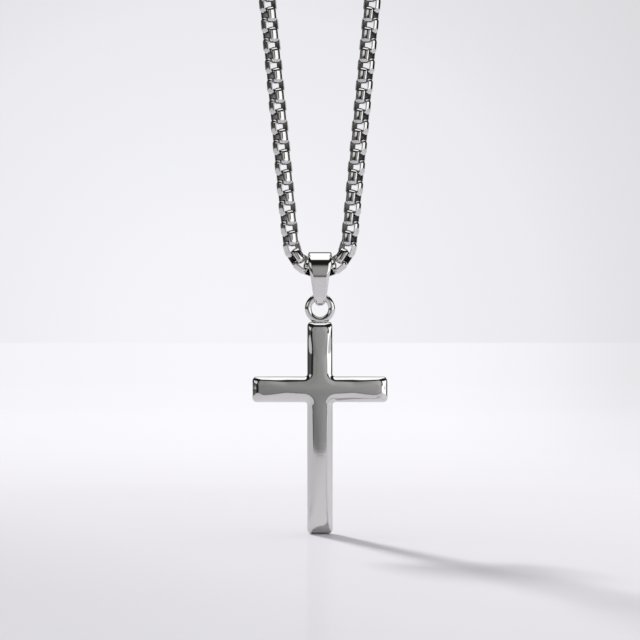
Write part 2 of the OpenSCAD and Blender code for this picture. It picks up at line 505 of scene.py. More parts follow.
class StudioSizes(bpy.types.PropertyGroup):
    """Camera, table and key light."""

    camera_distance: FloatProperty(
        name="Camera Distance",
        description="From the lens to the middle of the cross",
        default=0.6,
        unit="LENGTH",
    )
    camera_height: FloatProperty(
        name="Camera Height",
        description="Height of the level camera in the frame, negative below the crown of the chain",
        default=-262.1 * MM,
        unit="LENGTH",
    )
    lens: FloatProperty(name="Lens", description="Focal length in mm", default=195.8, unit="CAMERA")
    sensor: FloatProperty(
        name="Sensor", description="Width of the sensor in mm", default=36, unit="CAMERA"
    )
    table_front: FloatProperty(
        name="Table Front",
        description="From the pendant forward to the table's edge",
        default=0.357,
        unit="LENGTH",
    )
    table_gap: FloatProperty(
        name="Table Gap",
        description="From the foot of the cross down to the table",
        default=0.05 * MM,
        unit="LENGTH",
    )
    table_side: FloatProperty(
        name="Table Side",
        description="From the pendant to the table's edge on each side",
        default=1,
        unit="LENGTH",
    )
    notch_width: FloatProperty(
        name="Notch Width",
        description="Half the width of the table's notch round the camera",
        default=0.16,
        unit="LENGTH",
    )
    floor_reach: FloatProperty(
        name="Floor Reach",
        description="From the pendant to the far edges of the floor",
        default=5,
        unit="LENGTH",
    )
    key_size: FloatProperty(
        name="Key Size", description="Width of the key light", default=0.53, unit="LENGTH"
    )
    key_power: FloatProperty(
        name="Key Power", description="Power of the key light", default=520, unit="POWER"
    )


# ---- Materials ----

# The polishing wheel leaves waves and scratches that are this high, as a share of their spacing.
WAVE_HEIGHT = 0.0002
SCRATCH_HEIGHT = 0.0008

# The scratches run long one way: how it is turned, and how much they are stretched along it.
SCRATCH_TURN = (0.1, 0.35, 0.2)
SCRATCH_STRETCH = (0.12, 1, 1)

# Between these levels of the scratches' pattern the roughness goes from its lowest to its highest share.
SCRATCH_LEVELS = (0.35, 0.7)
ROUGHNESS_SHARES = (0.8, 1.5)

# The waves' pattern darkens the metal down to this share.
DARKEST = 0.94

# The links' inner faces: their roughness, and the levels of "outer" between which their dull finish and
# painted shade end.
INSIDE_ROUGHNESS = 0.32
INSIDE_LEVELS = (0.1, 0.6)


def polished_steel(name, colour, roughness, scratch_mm, wave_mm, inside=None):
    """Stainless steel, stamped or cast and then buffed on a wheel: a mirror that is a little soft, with
    fine scratches that catch the light and a faint waviness left by the wheel. Real scratches lie some
    hundredths of a millimetre apart, so they are drawn as coarse as they need to be to show. With an
    inside colour, the faces whose attribute "outer" is 0 get that darker colour as painted shade between
    the links, and stay rough, because the tumbling media don't reach them."""
    material = bpy.data.materials.new(name)
    material.use_nodes = True
    tree = material.node_tree
    shader = tree.nodes["Principled BSDF"]
    shader.inputs["Metallic"].default_value = 1.0
    place = add_node(tree, "ShaderNodeTexCoord").outputs["Object"]
    streak = add_node(
        tree,
        "ShaderNodeMapping",
        {"Vector": place, "Rotation": SCRATCH_TURN, "Scale": SCRATCH_STRETCH},
    )
    scratches = add_node(
        tree, "ShaderNodeTexNoise", {"Vector": streak, "Scale": 1 / (scratch_mm * MM), "Detail": 3.0}
    )
    waves = add_node(
        tree, "ShaderNodeTexNoise", {"Vector": place, "Scale": 1 / (wave_mm * MM), "Detail": 1.0}
    )
    haze = add_node(
        tree,
        "ShaderNodeMapRange",
        {
            "Value": scratches,
            "From Min": SCRATCH_LEVELS[0],
            "From Max": SCRATCH_LEVELS[1],
            "To Min": roughness * ROUGHNESS_SHARES[0],
            "To Max": roughness * ROUGHNESS_SHARES[1],
        },
    )
    tint = add_node(
        tree,
        "ShaderNodeMix",
        {"Factor": waves, "A": [c * DARKEST for c in colour] + [1.0], "B": [*colour, 1.0]},
        data_type="RGBA",
    )
    # Painted shade: the faces inside the links are darkened to the inside colour, as shade between the
    # links, and are made rougher.
    if inside:
        outer = add_node(tree, "ShaderNodeAttribute", attribute_name="outer").outputs["Fac"]
        polished_and_unshaded = add_node(
            tree,
            "ShaderNodeMapRange",
            {"Value": outer, "From Min": INSIDE_LEVELS[0], "From Max": INSIDE_LEVELS[1]},
        )
        tint = add_node(
            tree, "ShaderNodeMix", {"Factor": polished_and_unshaded, "A": [*inside, 1.0], "B": tint}, data_type="RGBA"
        )
        haze = add_node(tree, "ShaderNodeMix", {"Factor": polished_and_unshaded, "A": INSIDE_ROUGHNESS, "B": haze})
    wavy = add_node(
        tree,
        "ShaderNodeBump",
        {"Height": waves, "Strength": 1.0, "Distance": wave_mm * MM * WAVE_HEIGHT},
    )
    scratched = add_node(
        tree,
        "ShaderNodeBump",
        {
            "Height": scratches,
            "Normal": wavy,
            "Strength": 1.0,
            "Distance": scratch_mm * MM * SCRATCH_HEIGHT,
        },
    )
    for socket, node in (("Base Color", tint), ("Roughness", haze), ("Normal", scratched)):
        tree.links.new(first_output(node), shader.inputs[socket])
    return material


def pendant_steel():
    """Buffed stainless steel of the cross, the bail and the clasp, close to a mirror."""
    name = "buffed_stainless_steel"
    return bpy.data.materials.get(name) or polished_steel(
        name,
        bpy.context.scene.pendant_finish.pendant_steel,
        roughness=0.035,
        scratch_mm=0.35,
        wave_mm=5.0,
    )


def chain_steel():
    """Stainless strip of the chain, tumbled with the whole chain, so it is a little duller outside and
    much duller inside the links, where its colour is also darkened as painted shade between them."""
    name, finish = "tumbled_stainless_steel", bpy.context.scene.pendant_finish
    return bpy.data.materials.get(name) or polished_steel(
        name,
        finish.chain_steel,
        roughness=0.06,
        scratch_mm=0.3,
        wave_mm=1.5,
        inside=finish.link_inside_shade,
    )


# ---- Cross and ring ----


# How the shoulder of the cross turns away: (share of its width from the flat face, degrees). The wheel
# breaks the edge of the flat face first, so the shoulder turns fastest there and at the outer edge.
SHOULDER_TURN = ((0, 8), (0.17, 14), (0.36, 33), (0.56, 40), (0.78, 50), (0.87, 67), (1, 82))


def cross_corners(sizes, top):
    """Corners of the cross from the front, anticlockwise: (x, z, 1 for an outer or -1 for an inner)."""
    bar, reach = sizes.bar_width / 2, CROSS_HIGH.x
    middle = top - sizes.arm_drop
    right = [
        (bar, top, 1),
        (bar, middle + bar, -1),
        (reach, middle + bar, 1),
        (reach, middle - bar, 1),
        (bar, middle - bar, -1),
        (bar, CROSS_LOW.z, 1),
    ]
    return [(-x, z, side) for x, z, side in right] + right[::-1]


def rounded_outline(corners, inset, outer_radius, inner_radius, fullness):
    """The outline drawn in by inset, with its outer and inner corners rounded. The long sides are drawn
    in less near the corners, where a polishing wheel leaves the bars fuller: fullness is the share at
    outer and at inner corners."""
    corner_steps, edge_steps, reach = 8, 15, 3.3 * MM
    end_share = 0.92  # how much of the inset the short edges at the bar ends are drawn in by
    spots = np.array([c[:2] for c in corners])
    sides = [c[2] for c in corners]
    count = len(corners)
    along = np.roll(spots, -1, axis=0) - spots
    lengths = np.linalg.norm(along, axis=1)
    along /= lengths[:, None]
    inward = np.stack([-along[:, 1], along[:, 0]], axis=1)
    # By kind of corner, outer and inner: the fullness, the rounding, and how the fullness fades away
    share = {1: fullness[0], -1: fullness[1]}
    radius = {1: outer_radius, -1: inner_radius}
    power = {1: 2.0, -1: 1.5}

    def drawn(edge, at):
        """How far an edge is drawn in at one of its two corners. The short edges at the bar ends have
        two outer corners, and are drawn in evenly."""
        is_end = sides[edge] > 0 and sides[(edge + 1) % count] > 0
        return inset * (end_share if is_end else 1 - share[sides[at]])

    points = []
    for k in range(count):
        ahead, behind = (k + 1) % count, (k - 1) % count
        before, after, turn_r = inward[behind], inward[k], sides[k] * radius[sides[k]]
        first, second = drawn(behind, k), drawn(k, k)
        middle = spots[k] + (first + turn_r) * before + (second + turn_r) * after
        for turn in np.linspace(0, math.pi / 2, corner_steps + 1):
            points.append(middle - turn_r * (before * math.cos(turn) + after * math.sin(turn)))
        start = sides[k] * first + radius[sides[k]]
        stop = lengths[k] - sides[ahead] * drawn(ahead, ahead) - radius[sides[ahead]]
        last = drawn(k, ahead)
        for at in np.linspace(start, stop, edge_steps + 2)[1:-1]:
            near = (inset - second) * math.exp(-(((at - start) / reach) ** power[sides[k]]))
            far = (inset - last) * math.exp(-(((stop - at) / reach) ** power[sides[ahead]]))
            points.append(spots[k] + along[k] * at + after * (inset - max(near, far)))
    return np.array(points)


def cross_layers(sizes):
    """Layers of half the cross, from its middle line out to its edge: (depth from the middle plane,
    inset from the outline, radius of the outer corners)."""
    half, bar = CROSS_HIGH.y, sizes.bar_width / 2
    core, flat_rings, shoulder_rings = 0.12, 7, 18
    layers = []
    for share in np.linspace(core, 1, flat_rings):
        inset = bar - share * (bar - sizes.shoulder_width)
        layers.append((half - sizes.flat_crown * share**3, inset, sizes.flat_corner * share))
    fall = fall_of(SHOULDER_TURN, sizes.shoulder_depth - sizes.flat_crown)
    for out in np.sin(np.linspace(0, math.pi / 2, shoulder_rings)):
        corner = sizes.flat_corner + (sizes.end_corner - sizes.flat_corner) * out
        depth = half - sizes.flat_crown - fall(out)
        layers.append((depth, sizes.shoulder_width * (1 - out), corner))
    return layers


def cross_shell(sizes, top):
    """The cross: a flat face with a slight crown on each side, and rounded shoulders to its edges."""
    corners = cross_corners(sizes, top)
    fullness = (sizes.end_fullness, sizes.middle_fullness)
    half = cross_layers(sizes)
    stack = [(FRONT, layer) for layer in half] + [(BACK, layer) for layer in reversed(half)]
    rings = []
    for side, (depth, inset, corner) in stack:
        outline = rounded_outline(
            corners, inset, corner, sizes.inner_corner + inset * sizes.inner_sweep, fullness
        )
        rings.append(np.stack([outline[:, 0], np.full(len(outline), side * depth), outline[:, 1]], 1))
    return shell(rings)


def solder_fillet(top):
    """The hollow fillet of solder that joins the ring to the top edge of the cross."""
    stations = []
    for height, length, width in (
        (-0.12, 1.6, 0.75),
        (0, 1.56, 0.72),
        (0.05, 1.48, 0.66),
        (0.1, 1.4, 0.62),
        (0.2, 1.2, 0.5),
        (0.3, 0.8, 0.3),
        (0.32, 0.02, 0.02),
    ):
        stations.append(((0, 0, top + height * MM), (length * MM, 0, 0), (0, width * MM, 0)))
    return rounded_loft(stations, sides=32, fullness=2.0)


class PENDANT_OT_cross(bpy.types.Operator):
    """Make the cross with the ring soldered to its top edge"""

    bl_idname = "pendant.cross"
    bl_label = "Cross and Ring"

    def execute(self, context):
        sizes = context.scene.pendant_cross
        ring_radius = (sizes.ring_bore + sizes.ring_wire) / 2
        ring_z = WIRE_Z - ring_radius
        top = CROSS_LOW.z + sizes.height
        shells = [
            cross_shell(sizes, top),
            torus(
                (0, 0, ring_z), (1, 0, 0), (0, 0, 1), ring_radius, sizes.ring_wire, turns=96, sides=32
            ),
            solder_fillet(top),
        ]
        dress(make_piece("cross_body", shells, pendant_steel()), "cross", "cross")
        return {"FINISHED"}


# ---- Bail ----


def leaf_point(turn, top_r, tip_r, drop, bulge):
    """The point of half the bail's side outline whose skin faces this way, an angle up from the
    horizontal. The outline is a round top, a long bulging wall and a round tip that meet smoothly."""
    level = ((bulge - tip_r) ** 2 - (bulge - top_r) ** 2 - drop**2) / (2 * drop)
    aside = math.sqrt((bulge - top_r) ** 2 - level**2)
    top_end, tip_end = math.atan2(-level, aside), math.atan2(-drop - level, aside)
    if turn >= top_end:
        centre, radius = (0, 0), top_r
    elif turn > tip_end:
        centre, radius = (-aside, level), bulge
    else:
        centre, radius = (0, -drop), tip_r
    return np.array(centre) + radius * np.array([math.cos(turn), math.sin(turn)])


def bail_half_width(sizes, z):
    """Half the bail's width at a height: widest at the top, and drawn in to the lower fold."""
    levels = [0, 0.12, 0.24, 0.5, 0.79, 0.94, 1]
    spread = [1, 1, 0.9, 0.6, 0.33, 0.06, 0]
    soften = 0.02
    share = (BAIL_HIGH.z - z) / (BAIL_HIGH.z - BAIL_LOW.z)
    wide = np.mean([np.interp(share + k * soften, levels, spread) for k in (-1, 0, 1)])
    return (sizes.tip_width + (sizes.width - sizes.tip_width) * wide) / 2


# How the outer edges of the bail's strip turn away: (share of their width, degrees).
EDGE_TURN = ((0, 12), (0.1, 20), (0.6, 30), (0.9, 45), (1, 70))

# Over the top of the bail the edges get narrower: from this angle to that one, down to this share.
TOP_TURN, TOP_EDGE = (0.9, 1.4), 0.5


def strip_section(sizes, thickness):
    """The strip cut across: (from its middle outwards, side, from its edge inwards) for each point. Its
    outer edges are rolled over by the polishing wheel, and its inner edges only broken."""
    inner_edge, outer_points, inner_points, flat_margin = 0.07 * MM, 9, 3, 1.1
    fall = fall_of(EDGE_TURN, sizes.edge_depth)
    half = [(thickness / 2, 1, sizes.edge_width * flat_margin)]
    for share in np.sin(np.linspace(0, math.pi / 2, outer_points)):
        half.append((thickness / 2 - fall(share), 1, sizes.edge_width * (1 - share)))
    for turn in np.linspace(math.pi / 2, 0, inner_points):
        out = inner_edge * (1 - math.cos(turn)) - thickness / 2
        half.append((out, 1, inner_edge * (1 - math.sin(turn))))
    return half + [(out, -1, inwards) for out, _, inwards in reversed(half)]


class PENDANT_OT_bail(bpy.types.Operator):
    """Make the bail, a tapered strip folded round the chain and the ring"""

    bl_idname = "pendant.bail"
    bl_label = "Bail"

    def execute(self, context):
        sizes, cross = context.scene.pendant_bail, context.scene.pendant_cross
        drop = SWING_Z - WIRE_Z
        outer = (
            sizes.bore_radius + sizes.wall,
            sizes.fold_radius + sizes.wall,
            drop + sizes.tip_extra,
            sizes.bulge,
        )
        inner = (sizes.bore_radius, sizes.fold_radius, drop, sizes.bulge - sizes.wall)
        ring_radius = (cross.ring_bore + cross.ring_wire) / 2
        hole = cross.ring_bore / 2 - sizes.ring_play
        stations_each_side = 73
        half_turns = np.linspace(math.pi / 2, -math.pi / 2, stations_each_side)
        stations = [(turn, 1) for turn in half_turns] + [(turn, -1) for turn in half_turns[-2:0:-1]]
        rings = []
        for turn, side in stations:
            far, near = leaf_point(turn, *outer), leaf_point(turn, *inner)
            middle, thickness = (far + near) / 2, np.linalg.norm(far - near)
            out = (far - near) / thickness
            edge_share = np.interp(turn, TOP_TURN, (1, TOP_EDGE))
            section = []
            for offset, edge, narrower in strip_section(sizes, thickness):
                y, z = middle + out * offset
                x = bail_half_width(sizes, SWING_Z + z) - narrower * edge_share
                from_wire = math.hypot(y, z + drop)
                if z + drop < cross.ring_wire / 2:
                    x = min(x, math.sqrt(max(hole**2 - (from_wire - ring_radius) ** 2, 0)))
                section.append((edge * x, side * y, SWING_Z + z))
            rings.append(section)
        piece = make_piece("bail_strip", [shell(rings, closed=True)], pendant_steel())
        dress(piece, "bail", "bail")
        return {"FINISHED"}


# ---- Chain ----

# The lowest links turn up out of the bail one by one: the slope of each in degrees, and the step to the
# next as a share of the pitch.
BEND = ((0, 0.91), (19, 0.91), (38, 0.92), (57, 0.945), (73, 0.98))

# Steps in the rounding of the strip's edges, before its cut is given its section points.
EDGE_STEPS = 4


def link_route(sizes):
    """Where the links of the right half sit: a function from a link's number, counted from the lowest
    one, to its place in the plane of the loop and its slope in degrees, and the number that a link at
    the crown would have."""
    lean = math.degrees(sizes.strand_lean)
    low = np.array([0.0, SWING_Z - sizes.sag])
    slopes = [slope for slope, _ in BEND] + [90 - lean]
    places = [low]
    for k, (_, step) in enumerate(BEND):
        places.append(places[-1] + sizes.link_pitch * step * heading((slopes[k] + slopes[k + 1]) / 2))
    end, ahead = places[-1], heading(90 - lean)
    spent = sizes.link_pitch * sum(step for _, step in BEND)
    crown_turn = math.radians(90 + lean)
    radius = (sizes.loop_length / 2 - spent + end[0] / ahead[0]) / (ahead[1] / ahead[0] + crown_turn)
    straight = (radius * ahead[1] - end[0]) / ahead[0]
    crown = np.array([0, end[1] + straight * ahead[1] + radius * ahead[0]])

    def place(number):
        """The place and the slope of this link."""
        if number < len(BEND):
            return places[number], slopes[number]
        travelled = (number - len(BEND)) * sizes.link_pitch
        if travelled <= straight:
            return end + travelled * ahead, slopes[-1]
        angle = math.degrees((travelled - straight) / radius) - lean
        return crown + radius * heading(angle), angle + 90

    last = len(BEND) + (straight + radius * crown_turn) / sizes.link_pitch
    return place, last


def end_number(sizes):
    """The number of the last link on each side, next to the clasp and its jump rings."""
    _, last = link_route(sizes)
    jump_room = bpy.context.scene.pendant_clasp.jump_room
    beside_clasp = (CLASP_HIGH.x - CLASP_LOW.x) / 2 + sizes.link_length / 2 + jump_room
    return int(last - beside_clasp / sizes.link_pitch)


def link_turn(sizes, at, slope, number, mirrored):
    """The matrix that puts a link in its place: the link lies in the XY plane, long along Y."""
    stand = Matrix(((1, 0, 0), (0, 0, -1), (0, 1, 0))).to_4x4()
    roll = math.radians(90) * (number % 2) - sizes.roll
    placed = (
        Matrix.Translation((at[0], 0, at[1]))
        @ Matrix.Rotation(math.radians(90 - slope), 4, "Y")
        @ Matrix.Rotation(roll, 4, "Z")
        @ stand
    )
    if mirrored:  # a mirrored link is its own twin, so mirroring it twice keeps its faces outwards
        placed = Matrix.Diagonal((-1, 1, 1, 1)) @ placed @ Matrix.Diagonal((1, 1, -1, 1))
    return placed


def chain_tree():
    """Geometry Nodes: bends a domed strip to a link, and puts one at each point of the route."""
    tree = bpy.data.node_groups.get("box_chain")
    if tree:
        return tree
    tree = bpy.data.node_groups.new("box_chain", "GeometryNodeTree")
    for name, kind in (
        ("Route", "NodeSocketGeometry"),
        ("Link Width", "NodeSocketFloat"),
        ("Link Length", "NodeSocketFloat"),
        ("Strip Width", "NodeSocketFloat"),
        ("Strip Thickness", "NodeSocketFloat"),
        ("Strip Dome", "NodeSocketFloat"),
        ("Bend Radius", "NodeSocketFloat"),
        ("Bend Steps", "NodeSocketInt"),
        ("Edge Radius", "NodeSocketFloat"),
        ("Section Points", "NodeSocketInt"),
        ("Metal", "NodeSocketMaterial"),
    ):
        tree.interface.new_socket(name, in_out="INPUT", socket_type=kind)
    tree.interface.new_socket("Chain", in_out="OUTPUT", socket_type="NodeSocketGeometry")
    given = add_node(tree, "NodeGroupInput").outputs
    thickness, width = given["Strip Thickness"], given["Strip Width"]
    wide, long = (
        add_node(tree, "ShaderNodeMath", {0: given[name], 1: thickness}, operation="SUBTRACT")
        for name in ("Link Width", "Link Length")
    )
    box = add_node(tree, "GeometryNodeCurvePrimitiveQuadrilateral", {"Width": wide, "Height": long})
    bends = add_node(
        tree,
        "GeometryNodeFilletCurve",
        {
            "Curve": box.outputs["Curve"],
            "Count": given["Bend Steps"],
            "Radius": given["Bend Radius"],
            "Limit Radius": True,
        },
        mode="POLY",
    )
    upright = add_node(
        tree, "GeometryNodeSetCurveNormal", {"Curve": bends.outputs["Curve"]}, mode="Z_UP"
    )
    strip = add_node(
        tree, "GeometryNodeCurvePrimitiveQuadrilateral", {"Width": thickness, "Height": width}
    )
    broken = add_node(
        tree,
        "GeometryNodeFilletCurve",
        {
            "Curve": strip.outputs["Curve"],
            "Count": EDGE_STEPS,
            "Radius": given["Edge Radius"],
            "Limit Radius": True,
        },
        mode="POLY",
    )
    section = add_node(
        tree,
        "GeometryNodeResampleCurve",
        {"Curve": broken.outputs["Curve"], "Count": given["Section Points"]},
        mode="COUNT",
    )
    # Along the strip's cut X runs outwards and Y across: outer is 0 inside the link and 1 outside it. At
    # the strip's edges squared is a quarter, so the outer face is lower there by the whole dome.
    spot = add_node(
        tree, "ShaderNodeSeparateXYZ", {"Vector": add_node(tree, "GeometryNodeInputPosition")}
    ).outputs
    aside = add_node(tree, "ShaderNodeMath", {0: spot["Y"], 1: width}, operation="DIVIDE")
    squared = add_node(tree, "ShaderNodeMath", {0: aside, 1: aside}, operation="MULTIPLY")
    depth = add_node(tree, "ShaderNodeMath", {0: spot["X"], 1: thickness}, operation="DIVIDE")
    outer = add_node(tree, "ShaderNodeMath", {0: depth, 1: 0.5}, operation="ADD")
    full = add_node(tree, "ShaderNodeMath", {0: given["Strip Dome"], 1: -4.0}, operation="MULTIPLY")
    fall = add_node(tree, "ShaderNodeMath", {0: squared, 1: full}, operation="MULTIPLY")
    lowered = add_node(tree, "ShaderNodeMath", {0: fall, 1: outer}, operation="MULTIPLY")
    marked = add_node(
        tree,
        "GeometryNodeStoreNamedAttribute",
        {"Geometry": section.outputs["Curve"], "Name": "outer", "Value": outer},
        data_type="FLOAT",
        domain="POINT",
    )
    domed = add_node(
        tree,
        "GeometryNodeSetPosition",
        {
            "Geometry": marked,
            "Offset": add_node(tree, "ShaderNodeCombineXYZ", {"X": lowered}),
        },
    )
    link = add_node(
        tree,
        "GeometryNodeCurveToMesh",
        {"Curve": upright.outputs["Curve"], "Profile Curve": domed.outputs["Geometry"]},
    )
    smooth = add_node(tree, "GeometryNodeSetShadeSmooth", {"Geometry": link.outputs["Mesh"]})
    turn = add_node(
        tree, "GeometryNodeInputNamedAttribute", {"Name": "link_turn"}, data_type="FLOAT_VECTOR"
    )
    placed = add_node(
        tree,
        "GeometryNodeInstanceOnPoints",
        {
            "Points": given["Route"],
            "Instance": smooth.outputs["Geometry"],
            "Rotation": turn.outputs["Attribute"],
        },
    )
    real = add_node(
        tree, "GeometryNodeRealizeInstances", {"Geometry": placed.outputs["Instances"]}
    )
    metal = add_node(
        tree,
        "GeometryNodeSetMaterial",
        {"Geometry": real.outputs["Geometry"], "Material": given["Metal"]},
    )
    add_node(tree, "NodeGroupOutput", {"Chain": metal.outputs["Geometry"]})
    return tree


def make_links(name, sizes, places, bend_steps, section_points):
    """Runs the chain's nodes over the links' places and keeps the result as one plain mesh."""
    route = bpy.data.meshes.new(name + "_route")
    route.from_pydata([place.translation for place in places], [], [])
    turns = route.attributes.new("link_turn", "FLOAT_VECTOR", "POINT")
    turns.data.foreach_set("vector", [angle for place in places for angle in place.to_euler()])
    maker = bpy.data.objects.new(name + "_maker", route)
    bpy.context.scene.collection.objects.link(maker)
    modifier = maker.modifiers.new("chain", "NODES")
    modifier.node_group = chain_tree()
    sockets = {
        item.name: item.identifier
        for item in modifier.node_group.interface.items_tree
        if item.in_out == "INPUT"
    }
    for socket, value in (
        ("Link Width", sizes.link_width),
        ("Link Length", sizes.link_length),
        ("Strip Width", sizes.strip_width),
        ("Strip Thickness", sizes.strip_thickness),
        ("Strip Dome", sizes.strip_dome),
        ("Bend Radius", sizes.bend_radius),
        ("Bend Steps", bend_steps),
        ("Edge Radius", sizes.edge_radius),
        ("Section Points", section_points),
        ("Metal", chain_steel()),
    ):
        modifier[sockets[socket]] = value
    bpy.context.view_layer.update()
    graph = bpy.context.evaluated_depsgraph_get()
    mesh = bpy.data.meshes.new_from_object(maker.evaluated_get(graph))
    maker.modifiers.remove(modifier)
    bpy.data.objects.remove(maker)
    bpy.data.meshes.remove(route)
    mesh.name = name
    tidy = bmesh.new()
    tidy.from_mesh(mesh)
    if tidy.calc_volume(signed=True) < 0:
        bmesh.ops.reverse_faces(tidy, faces=tidy.faces)
    tidy.to_mesh(mesh)
    tidy.free()
    piece = bpy.data.objects.new(name, mesh)
    bpy.context.scene.collection.objects.link(piece)
    return piece


def places_of(sizes, numbers):
    """The matrices of these links on both sides of the loop, with the lowest link, number 0, once."""
    place, _ = link_route(sizes)
    placed = []
    for number in numbers:
        at, slope = place(number)
        for mirrored in (False, True) if number else (False,):
            placed.append(link_turn(sizes, at, slope, number, mirrored))
    return placed


class PENDANT_OT_chain_front(bpy.types.Operator):
    """Make the fine links that hang near the pendant"""

    bl_idname = "pendant.chain_front"
    bl_label = "Front Links"

    def execute(self, context):
        sizes = context.scene.pendant_chain
        places = places_of(sizes, range(sizes.links_each_side + 1))
        piece = make_links("chain_front_links", sizes, places, bend_steps=7, section_points=26)
        dress(piece, "chain", "chain_front")
        return {"FINISHED"}


class PENDANT_OT_chain_back(bpy.types.Operator):
    """Make the plainer links that go round the crown of the loop to the clasp"""

    bl_idname = "pendant.chain_back"
    bl_label = "Back Links"

    def execute(self, context):
        sizes = context.scene.pendant_chain
        places = places_of(sizes, range(sizes.links_each_side + 1, end_number(sizes) + 1))
        piece = make_links("chain_back_links", sizes, places, bend_steps=1, section_points=8)
        dress(piece, "chain", "chain_back")
        return {"FINISHED"}


# ---- Clasp ----

# The clasp's pieces are placed from the middles of its hook and its eye. Their own lengths are in mm,
# and how deep they are from front to back is a share of the clasp's depth.


def clasp_hook(sizes, centre, depth):
    """The hook: round metal that gets thinner towards its tip, with rounded ends."""
    open_from, open_to, steps = -30, 295, 60
    taper, flatness, spare = 0.35, 0.72, 0.02 * MM
    stations = []
    for turn in np.linspace(open_from, open_to, steps):
        out = np.array([heading(turn)[0], 0, heading(turn)[1]])
        share = (turn - open_from) / (open_to - open_from)
        thick = sizes.hook_wire / 2 * (1.0 - taper * share**3)
        end = min(share, 1 - share) * steps
        close = math.sqrt(max(1 - (1 - min(end, 1)) ** 2, 0.02))
        middle = centre + out * (sizes.hook_radius - thick - spare)
        stations.append((middle, out * thick * close, (0, depth * flatness * close, 0)))
    return rounded_loft(stations, sides=24, fullness=2.6)


def clasp_body(sizes, hook, eye, depth):
    """The body between the hook and the eye: an egg that gets lower and thinner towards the eye."""
    height, height_lost, depth_lost = 1.62, 0.72, 0.28
    start_share, stop_share, blunt, steps = 0.72, 0.45, 3, 24
    start = hook[0] + (sizes.hook_radius - sizes.hook_wire / 2) * start_share
    stop = eye[0] - sizes.eye_radius * stop_share
    stations = []
    for share in np.linspace(0, 1, steps):
        plump = min(1.0, math.sin(math.pi * min(max(share, 0.02), 0.98)) * blunt)
        tall = (height - height_lost * share) * MM * plump
        thick = (depth - depth_lost * MM * share) * plump
        stations.append(((start + (stop - start) * share, 0, hook[2]), (0, 0, tall), (0, thick, 0)))
    return rounded_loft(stations, sides=32, fullness=2.5)


def clasp_lever(hook, depth):
    """The gate's lever: a flat bar that runs back and down under the hook."""
    right, back, down, slope, half_height = 2.35, 3.1, 1.35, 0.65, 0.28
    half_depth, blunt, steps = 0.62, 6, 20
    stations = []
    for share in np.linspace(0, 1, steps):
        end = math.sqrt(max(1 - (2 * share - 1) ** blunt, 0.01))
        at = np.array([hook[0] + (right - back * share) * MM, 0, hook[2] - (down + slope * share) * MM])
        stations.append((at, (0, 0, half_height * MM * end), (0, depth * half_depth * end, 0)))
    return rounded_loft(stations, sides=20, fullness=3.0)


def clasp_knob(hook, depth):
    """The lever's knob, for a finger nail to pull back."""
    right, down, half_width, half_height = 2.3, 1.55, 0.55, 0.45
    half_depth, blunt, steps = 0.8, 0.98, 12
    at = np.array([hook[0] + right * MM, 0, hook[2] - down * MM])
    stations = []
    for share in np.linspace(-blunt, blunt, steps):
        end = math.sqrt(1 - share**2)
        middle = at + (0, share * depth * half_depth, 0)
        stations.append((middle, (half_width * MM * end, 0, 0), (0, 0, half_height * MM * end)))
    return rounded_loft(stations, sides=20, fullness=2.4)


class PENDANT_OT_clasp(bpy.types.Operator):
    """Make the lobster clasp at the crown of the loop, with its jump rings"""

    bl_idname = "pendant.clasp"
    bl_label = "Clasp"

    def execute(self, context):
        sizes, chain = context.scene.pendant_clasp, context.scene.pendant_chain
        depth = CLASP_HIGH.y
        z = (CLASP_LOW.z + CLASP_HIGH.z) / 2
        hook = np.array([CLASP_LOW.x + sizes.hook_radius, 0, z])
        eye = np.array([CLASP_HIGH.x - sizes.eye_radius, 0, z])
        eye_ring = sizes.eye_radius - sizes.eye_wire / 2
        shells = [
            clasp_hook(sizes, hook, depth),
            clasp_body(sizes, hook, eye, depth),
            clasp_lever(hook, depth),
            clasp_knob(hook, depth),
            torus(eye, (1, 0, 0), (0, 0, 1), eye_ring, sizes.eye_wire, turns=48, sides=20),
        ]
        place, _ = link_route(chain)
        end_link, _ = place(end_number(chain))
        for side, inside in ((1, eye[0]), (-1, hook[0] - sizes.jump_reach)):
            near = np.array([inside, 0, z])
            far = np.array([side * end_link[0], 0, end_link[1]])
            across = np.linalg.norm(far - near)
            along = (far - near) / across
            shells.append(
                torus(
                    (near + far) / 2, along, (0, 1, 0), across / 2, sizes.jump_wire, turns=48, sides=16
                )
            )
        piece = make_piece("clasp_lobster", shells, pendant_steel())
        dress(piece, "chain", "clasp")
        return {"FINISHED"}


# ---- Stage ----


def graded(tree, measures, ramps):
    """What a material or the world reads off its ramps, as sockets by name. Each row of ramps is (the
    measure that it follows, its lowest and highest value, stops as (value, brightness or share))."""
    read = {}
    for name, (measure, low, high, stops) in ramps.items():
        span = {"Value": measures[measure], "From Min": low, "From Max": high}
        share = add_node(tree, "ShaderNodeMapRange", span)
        scaled = [((at - low) / (high - low), bright) for at, bright in stops]
        ramp = add_node(tree, "ShaderNodeValToRGB", {"Fac": share}, stops=scaled)
        read[name] = ramp.outputs["Color"]
    return read


# Settings of a Mix node that multiplies two colours.
MULTIPLY = {"data_type": "RGBA", "blend_type": "MULTIPLY"}

# The brightness of the lit sheet far to the side of the camera's view, and round and behind the camera.
SIDE_GLOW = 0.74

